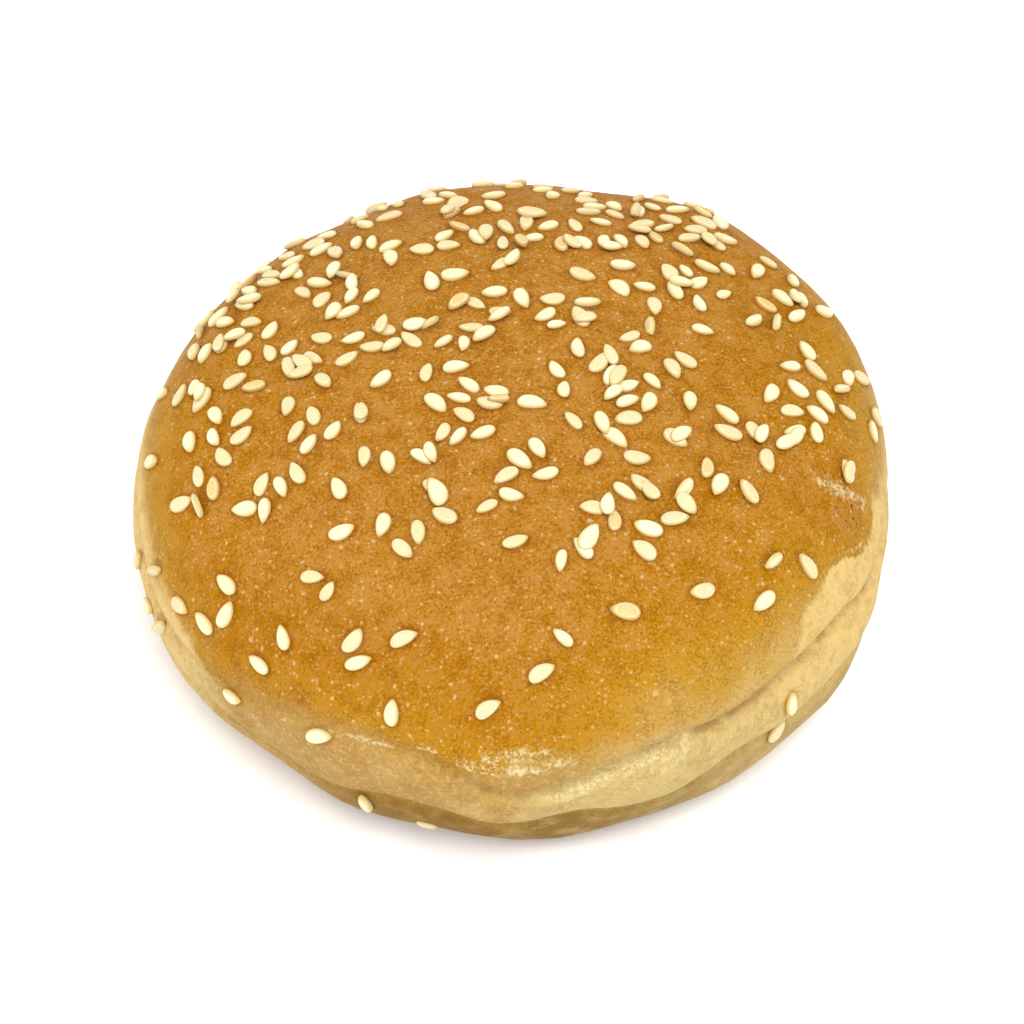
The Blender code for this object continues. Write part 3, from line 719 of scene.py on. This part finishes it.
class Shader:
    """A material's node tree with short names for the nodes used here."""

    def __init__(self, name):
        self.material = bpy.data.materials.new(name)
        self.material.use_nodes = True
        self.tree = self.material.node_tree
        self.surface = self.tree.nodes["Principled BSDF"]
        self.place = self.add("ShaderNodeTexCoord").outputs["Object"]
        self.shifted = self.shift(self.place)

    def add(self, kind, **settings):
        node = self.tree.nodes.new(kind)
        for name, value in settings.items():
            setattr(node, name, value)
        return node

    def shift(self, place):
        """The same coordinates moved well away, for a pattern that follows no other."""
        node = self.add("ShaderNodeVectorMath", operation="ADD")
        self.tree.links.new(place, node.inputs[0])
        node.inputs[1].default_value = WELL_AWAY
        return node.outputs[0]

    def feed(self, socket, value):
        """Links an output to a socket, or sets the socket to a number or a colour."""
        if isinstance(value, bpy.types.NodeSocket):
            self.tree.links.new(value, socket)
        elif isinstance(value, tuple) and len(value) == 3:
            socket.default_value = (*value, 1)
        else:
            socket.default_value = value

    def attribute(self, name):
        """The number that the mesh keeps under this name."""
        return self.add("ShaderNodeAttribute", attribute_name=name).outputs["Fac"]

    def maths(self, operation, first, second=0.0):
        node = self.add("ShaderNodeMath", operation=operation)
        self.feed(node.inputs[0], first)
        self.feed(node.inputs[1], second)
        return node.outputs[0]

    def add_up(self, first, *others):
        for other in others:
            first = self.maths("ADD", first, other)
        return first

    def times(self, first, *others):
        for other in others:
            first = self.maths("MULTIPLY", first, other)
        return first

    def centred(self, value):
        """Noise from 0 to 1 brought to lie around 0."""
        return self.maths("SUBTRACT", value, 0.5)

    def ramp(self, value, stops):
        """A colour that follows value through stops of (value, screen colour)."""
        low, high = stops[0][0], stops[-1][0]
        node = self.add("ShaderNodeValToRGB")
        self.feed(node.inputs["Fac"], self.step_evenly(value, low, high))
        bar = node.color_ramp
        while len(bar.elements) < len(stops):
            bar.elements.new(0.5)
        for element, (at, colour) in zip(bar.elements, stops):
            element.position = (at - low) / (high - low)
        for element, (at, colour) in zip(bar.elements, stops):
            element.color = (*srgb(*colour), 1)
        return node.outputs["Color"]

    def step_evenly(self, value, low, high):
        """0 below low, 1 above high and a straight line between them."""
        node = self.add("ShaderNodeMapRange")
        for name, given in (("Value", value), ("From Min", low), ("From Max", high)):
            self.feed(node.inputs[name], given)
        return node.outputs["Result"]

    def step(self, value, low, high, to_low=0.0, to_high=1.0):
        """A smooth step of value between low and high."""
        node = self.add("ShaderNodeMapRange", interpolation_type="SMOOTHSTEP")
        for name, given in (("Value", value), ("From Min", low), ("From Max", high),
                            ("To Min", to_low), ("To Max", to_high)):
            self.feed(node.inputs[name], given)
        return node.outputs["Result"]

    def mix(self, share, first, second, kind="MIX"):
        """Two colours mixed. Inputs 6 and 7 and output 2 are the node's sockets for colours."""
        node = self.add("ShaderNodeMix", data_type="RGBA", blend_type=kind)
        self.feed(node.inputs["Factor"], share)
        self.feed(node.inputs[6], first)
        self.feed(node.inputs[7], second)
        return node.outputs[2]

    def noise(self, length, detail=2.0, roughness=0.5, place=None):
        """Noise from 0 to 1, with its wave length in mm."""
        node = self.add("ShaderNodeTexNoise")
        self.feed(node.inputs["Vector"], place or self.place)
        self.feed(node.inputs["Scale"], 1 / (length * MM))
        self.feed(node.inputs["Detail"], detail)
        self.feed(node.inputs["Roughness"], roughness)
        return node.outputs["Fac"]

    def warp(self, length, amount):
        """Coordinates pushed about by noise, so that round spots turn out uneven."""
        push = self.add("ShaderNodeTexNoise")
        self.feed(push.inputs["Vector"], self.place)
        self.feed(push.inputs["Scale"], 1 / (length * MM))
        scale = self.add("ShaderNodeVectorMath", operation="SCALE")
        self.tree.links.new(push.outputs["Color"], scale.inputs[0])
        scale.inputs["Scale"].default_value = amount * MM
        add = self.add("ShaderNodeVectorMath", operation="ADD")
        self.tree.links.new(self.place, add.inputs[0])
        self.tree.links.new(scale.outputs[0], add.inputs[1])
        return add.outputs[0]

    def cells(self, length, place):
        """Distance from the middle of scattered cells this far apart in mm, and a number for each cell."""
        node = self.add("ShaderNodeTexVoronoi")
        self.feed(node.inputs["Vector"], place)
        self.feed(node.inputs["Scale"], 1 / (length * MM))
        return node.outputs["Distance"], node.outputs["Color"]

    def spots(self, length, place, outer, inner, rarer, commoner):
        """Round spots, 1 inside inner and 0 outside outer, in the cells whose number is high enough."""
        distance, cell = self.cells(length, place)
        return self.times(self.step(distance, outer, inner), self.step(cell, rarer, commoner))

    def relief(self, height, size, under=None):
        """A bump of this size in mm."""
        node = self.add("ShaderNodeBump")
        self.feed(node.inputs["Height"], height)
        self.feed(node.inputs["Distance"], size * MM)
        if under:
            self.feed(node.inputs["Normal"], under)
        return node.outputs["Normal"]


def srgb(red, green, blue):
    """A linear colour from the 0 to 255 values of a screen colour."""
    def linear(value):
        share = value / 255
        return share / 12.92 if share <= 0.04045 else ((share + 0.055) / 1.055) ** 2.4
    return linear(red), linear(green), linear(blue)


# Colours of the crust from the least baked to the most: (level, colour).
BAKING = (
    (17.0, (230, 194, 118)), (20.0, (220, 182, 102)), (22.5, (207, 163, 74)), (25.0, (206, 152, 32)),
    (28.0, (199, 138, 6)), (31.0, (196, 133, 14)), (35.0, (196, 134, 38)),
)

# The grain of the browned crust: lighter dust and deeper brown in the gaps.
DUST = srgb(200, 141, 62)
GAP = srgb(176, 108, 4)

# The pale side, from dull to creamy, the heel and the underside.
DULL = srgb(200, 155, 80)
CREAM = srgb(228, 198, 128)
HIGH_CREAM = srgb(246, 209, 132)
HEEL = srgb(152, 113, 38)
BASE = srgb(178, 130, 72)
BASE_DARK = srgb(150, 102, 50)

# What lies on the crust: light flecks, dry skin with a painted highlight, dark pores and painted shade in the
# creases.
FLECK = srgb(246, 204, 142)
FLAKE_AND_HIGHLIGHT = srgb(255, 236, 178)
PORE = srgb(110, 58, 18)
CREASE_SHADE = srgb(150, 108, 48)

# What the crust is multiplied by: painted contact shade close to the seeds, its fine grain and all over.
SEED_SHADE = srgb(216, 196, 150)
GRAIN = srgb(228, 218, 196)
ALBEDO = (0.645, 0.645, 0.645)
CRUST_SPECULAR = 0.05
CRUST_ROUGHNESS = (0.5, 0.66)

# The kinds of seed: body, middle and tip, and how far out the middle reaches. The tip colour also paints
# shade round each seed's rim.
SEED_KINDS = {
    "cream": (srgb(255, 252, 212), srgb(250, 234, 178), srgb(236, 200, 118), 0.1),
    "hollow": (srgb(255, 249, 206), srgb(236, 206, 148), srgb(230, 192, 112), 0.62),
    "toasted": (srgb(246, 222, 150), srgb(226, 184, 110), srgb(200, 144, 70), 0.5),
}
SEED_WARMER = srgb(252, 236, 178)
SEED_ALBEDO = (0.67, 0.67, 0.67)
SEED_SPECULAR = 0.25
SEED_ROUGHNESS = 0.45

# Wave lengths of the crust's patterns and distances between its spots, in mm.
PATCH_LENGTH = 7.0
CLOUD_LENGTH = 2.4
GRAIN_LENGTH = 0.34
WANDER_LENGTH = 3.2
FRINGE_LENGTH = 0.8
FLECK_GAP = 1.0
SMALL_FLECK_GAP = 0.5
BLISTER_GAP = 4.2
PORE_GAP = 5.0

# Bumps too fine for the mesh, in mm.
SKIN_BUMP = 0.10
GRAIN_BUMP = 0.18
FLECK_BUMP = 0.07


def browned_share(s, wander, fringe):
    """1 where the crust is browned and 0 on the pale side, with a wandering, blurred edge between them."""
    blur = s.attribute("border_blur")
    border = s.add_up(s.attribute("from_border"), s.times(wander, s.add_up(s.times(blur, 1.6), 1.0)),
                      s.times(fringe, 1.5))
    return s.step(border, s.times(blur, -1.2), s.times(blur, 1.2))


def browned_colour(s, cloud, grain):
    """The browned crust: its colour follows how far it is baked, in patches and with a fine grain."""
    baked = s.attribute("baked")
    patches = s.centred(s.noise(PATCH_LENGTH, 3, 0.55))
    colour = s.ramp(s.add_up(baked, s.times(patches, 9.0), s.times(s.centred(cloud), 4.0)), BAKING)
    dusty = s.step(s.add_up(grain, s.times(s.centred(cloud), 0.8)), 0.46, 0.64)
    colour = s.mix(s.times(dusty, s.step(baked, 23.0, 32.0, 0.2, 1.0), 0.9), colour, DUST)
    gaps = s.times(s.step(s.add_up(grain, s.times(s.centred(cloud), 0.4)), 0.50, 0.36),
                   s.step(baked, 20.0, 30.0, 0.2, 0.6))
    deep = s.times(s.attribute("deep"), s.step(cloud, 0.25, 0.6, 1.3, 0.5))
    return s.mix(s.maths("MAXIMUM", gaps, deep), colour, GAP)


def pale_colour(s, fringe):
    """The pale side: dull to creamy, browner on the heel, with faint smudges and light crumb."""
    high_cream = s.attribute("high_cream")
    cream = s.mix(s.step(high_cream, 0.0, 0.6), CREAM, HIGH_CREAM)
    cloudy = s.times(s.centred(s.noise(4.5, 4, 0.6)), 1.2)
    colour = s.mix(s.step(s.add_up(s.attribute("cream"), cloudy, high_cream), 0.0, 1.0), DULL, cream)
    heel = s.times(s.attribute("heel"), s.step(s.noise(3.0, 3, 0.6), 0.35, 0.6, 0.6, 1.0))
    colour = s.mix(heel, colour, HEEL)
    smudge = s.step(s.add_up(s.noise(2.2, 5, 0.75), s.times(fringe, 0.3)), 0.56, 0.36)
    colour = s.mix(s.times(smudge, 0.28), colour, HEEL)
    crumb = s.times(s.step(s.noise(0.5, 3, 0.7), 0.5, 0.68), s.maths("SUBTRACT", 0.35, s.times(heel, 0.35)))
    return s.mix(crumb, colour, FLAKE_AND_HIGHLIGHT)


def light_flecks(s, warped, browned, cloud):
    """Where light specks of two sizes lie, most of them on the browned crust."""
    large = s.spots(FLECK_GAP, warped, 0.28, 0.10, 0.45, 0.6)
    small = s.times(s.spots(SMALL_FLECK_GAP, warped, 0.42, 0.12, 0.4, 0.6), 0.6)
    flecks = s.times(s.maths("MAXIMUM", large, small), s.step(browned, 0.0, 1.0, 0.15, 0.75))
    return s.times(flecks, s.step(cloud, 0.3, 0.6, 0.55, 1.0))


def dry_skin_and_highlight(s, wander, fringe):
    """Where the ragged lines of dry skin show, and the painted highlight on the top of the roll."""
    ragged = s.add_up(s.attribute("flake_and_highlight"), s.times(fringe, 2.6), s.times(wander, 3.4))
    broken = s.step(s.noise(0.6, 3, 0.7, s.shifted), 0.38, 0.56, 0.12, 1.0)
    return s.times(s.step(ragged, 1.3, -0.3), broken)


def crust_material():
    """The whole crust, with its lighter and darker marks laid over the colours of its three parts."""
    s = Shader("Crust")
    wander = s.centred(s.noise(WANDER_LENGTH, 4, 0.6))
    fringe = s.centred(s.noise(FRINGE_LENGTH, 2, 0.6))
    cloud = s.noise(CLOUD_LENGTH, 3, 0.6, s.shifted)
    grain = s.noise(GRAIN_LENGTH, 2, 0.6)
    warped = s.warp(0.6, 0.45)

    browned = browned_share(s, wander, fringe)
    colour = s.mix(browned, pale_colour(s, fringe), browned_colour(s, cloud, grain))
    flecks = light_flecks(s, warped, browned, cloud)
    colour = s.mix(flecks, colour, FLECK)
    blister = s.spots(BLISTER_GAP, warped, 0.12, 0.06, 0.6, 0.65)
    colour = s.mix(s.times(blister, browned, 0.5), colour, FLECK)
    pore = s.spots(PORE_GAP, s.shifted, 0.04, 0.02, 0.5, 0.55)
    colour = s.mix(s.times(pore, 0.7), colour, PORE)
    pits = s.step(s.noise(0.75, 2, 0.6, s.shifted), 0.42, 0.34)
    pits = s.times(pits, s.step(s.attribute("rough"), 1.1, 0.5))
    colour = s.mix(s.times(pits, 0.75), colour, PORE)
    flake_and_highlight = dry_skin_and_highlight(s, wander, fringe)
    # Dry skin, and a painted highlight on the roll, in the same light colour.
    colour = s.mix(s.times(flake_and_highlight, 0.8), colour, FLAKE_AND_HIGHLIGHT)
    # Painted shade darkens the crust along the fold and tuck creases.
    crease_shade = s.times(s.attribute("crease_shade"), s.step(s.noise(2.6, 3, 0.6), 0.3, 0.6, 0.15, 0.7))
    colour = s.mix(crease_shade, colour, CREASE_SHADE)

    # Painted contact shade on the crust round each seed.
    seed_shade = s.step(s.attribute("from_seed"), SEED_SHADE_WITHIN, 0.0, 0.0, 0.6)
    colour = s.mix(seed_shade, colour, SEED_SHADE, "MULTIPLY")
    base = s.mix(s.step(s.noise(5, 4, 0.6), 0.35, 0.65), BASE, BASE_DARK)
    colour = s.mix(s.step(s.attribute("rise"), 2.2, 0.2), colour, base)
    speckle = s.step(s.add_up(s.noise(0.3, 2, 0.7, s.shifted), s.times(s.centred(cloud), 0.5)), 0.52, 0.36)
    colour = s.mix(s.times(speckle, s.step(browned, 0.0, 1.0, 0.4, 1.0)), colour, GRAIN, "MULTIPLY")
    colour = s.mix(1.0, colour, ALBEDO, "MULTIPLY")

    s.feed(s.surface.inputs["Base Color"], colour)
    s.feed(s.surface.inputs["Roughness"], s.step(s.noise(1.6, 3, 0.6), 0.3, 0.7, *CRUST_ROUGHNESS))
    s.surface.inputs["Specular IOR Level"].default_value = CRUST_SPECULAR
    normal = s.relief(s.noise(1.3, 3, 0.6), SKIN_BUMP)
    normal = s.relief(grain, GRAIN_BUMP, normal)
    normal = s.relief(s.maths("MAXIMUM", blister, s.maths("MAXIMUM", flecks, flake_and_highlight)), FLECK_BUMP, normal)
    s.feed(s.surface.inputs["Normal"], normal)
    return s.material


def seed_material(name, body, middle, tip, middle_reach):
    """Sesame: a body colour, a darker middle out to middle_reach, a darker tip, and painted shade on the rim
    in the tip's colour.
    """
    s = Shader(name)
    colour = s.mix(s.times(s.attribute("tone"), 0.6), body, SEED_WARMER)
    colour = s.mix(s.step(s.noise(0.8, 2, 0.5), 0.35, 0.75, 0.0, 0.15), colour, middle)
    from_middle = s.attribute("from_middle")
    uneven = s.add_up(from_middle, s.times(s.centred(s.noise(0.7, 2, 0.5)), 0.4))
    outline = s.maths("ABSOLUTE", s.maths("SUBTRACT", uneven, middle_reach))
    inner = s.maths("MAXIMUM", s.step(uneven, middle_reach, middle_reach - 0.2, 0.0, 0.5),
                    s.step(outline, 0.16, 0.0, 0.0, 0.75))
    colour = s.mix(inner, colour, middle)
    colour = s.mix(s.step(s.attribute("along_seed"), 0.70, 1.0, 0.0, 0.6), colour, tip)
    # Painted shade round the seed's rim, in the tip's colour.
    colour = s.mix(s.step(from_middle, 0.66, 1.0, 0.0, 0.8), colour, tip)
    colour = s.mix(1.0, colour, SEED_ALBEDO, "MULTIPLY")
    s.feed(s.surface.inputs["Base Color"], colour)
    s.surface.inputs["Roughness"].default_value = SEED_ROUGHNESS
    s.surface.inputs["Specular IOR Level"].default_value = SEED_SPECULAR
    s.feed(s.surface.inputs["Normal"], s.relief(s.noise(0.4, 2, 0.5), 0.02))
    return s.material


def dress(piece, material):
    """Gives a piece its material and says what it replaces."""
    piece.data.materials.append(material)
    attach(piece, "root")
    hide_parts("bun")


def make_stage():
    """A wide pale floor."""
    size = FLOOR_HALF_SIZE
    mesh = bpy.data.meshes.new("floor")
    corners = [(-size, -size, 0), (size, -size, 0), (size, size, 0), (-size, size, 0)]
    mesh.from_pydata(corners, [], [(0, 1, 2, 3)])
    floor = bpy.data.objects.new("floor", mesh)
    bpy.context.scene.collection.objects.link(floor)
    s = Shader("Pale floor")
    s.feed(s.surface.inputs["Base Color"], (FLOOR_ALBEDO, FLOOR_ALBEDO, FLOOR_ALBEDO))
    s.surface.inputs["Roughness"].default_value = 0.9
    s.surface.inputs["Specular IOR Level"].default_value = 0.1
    mesh.materials.append(s.material)


def make_lights():
    """A broad key light, a weaker one at the left and an even white surrounding."""
    for name, place, size, power in LIGHTS:
        light = bpy.data.lights.new(name, "AREA")
        light.shape = "DISK"
        light.size = size
        light.energy = power
        lamp = bpy.data.objects.new(name, light)
        lamp.location = place
        lamp.rotation_euler = (Vector(LIGHTS_AIM) - Vector(place)).to_track_quat("-Z", "Y").to_euler()
        bpy.context.scene.collection.objects.link(lamp)
    world = bpy.data.worlds.new("Studio")
    world.use_nodes = True
    background = world.node_tree.nodes["Background"]
    background.inputs["Color"].default_value = (1, 1, 1, 1)
    background.inputs["Strength"].default_value = 1.0
    bpy.context.scene.world = world


def make_camera(centre):
    """The camera, aimed at the middle of the turned form, which isn't quite the middle of the bun's box."""
    rise = math.radians(CAMERA_ELEVATION)
    forward = Vector((0, math.cos(rise), -math.sin(rise)))
    up = Vector((0, math.sin(rise), math.cos(rise)))
    aim = Vector((-centre[0], -centre[1], CAMERA_AIM_HEIGHT))
    place = aim - forward * CAMERA_DISTANCE - Vector((CAMERA_LEFT, 0, 0)) - up * CAMERA_DOWN
    data = bpy.data.cameras.new("camera")
    data.lens = CAMERA_LENS
    data.sensor_width = CAMERA_SENSOR
    data.clip_start = 0.01
    camera = bpy.data.objects.new("camera", data)
    camera.location = place * MM
    camera.rotation_euler = (math.radians(90 - CAMERA_ELEVATION), 0, 0)
    bpy.context.scene.collection.objects.link(camera)
    bpy.context.scene.camera = camera


def sort_seeds(seeds, draw):
    """The seeds of each kind, drawn by the kinds' shares."""
    kinds = {kind: [] for kind in SEED_KINDS}
    for seed in seeds:
        chance = draw.random()
        if chance < TOASTED_SHARE:
            kinds["toasted"].append(seed)
        elif chance < TOASTED_SHARE + HOLLOW_SHARE:
            kinds["hollow"].append(seed)
        else:
            kinds["cream"].append(seed)
    return kinds


def main():
    centre = plan_centre()
    make_camera(centre)
    make_lights()
    make_stage()
    placed, left_over = place_seeds()
    bun = make_crust(centre, placed)
    dress(bun, crust_material())
    draw = random.Random(SEED_SHAPE_DRAW)
    for kind, members in sort_seeds(placed + pile(left_over), draw).items():
        piece = make_seeds(f"seeds_{kind}", members, kind == "hollow", centre, draw)
        dress(piece, seed_material(f"Sesame {kind}", *SEED_KINDS[kind]))
    bpy.context.scene.view_settings.view_transform = "Standard"
    bpy.context.scene.view_settings.look = "None"


main()
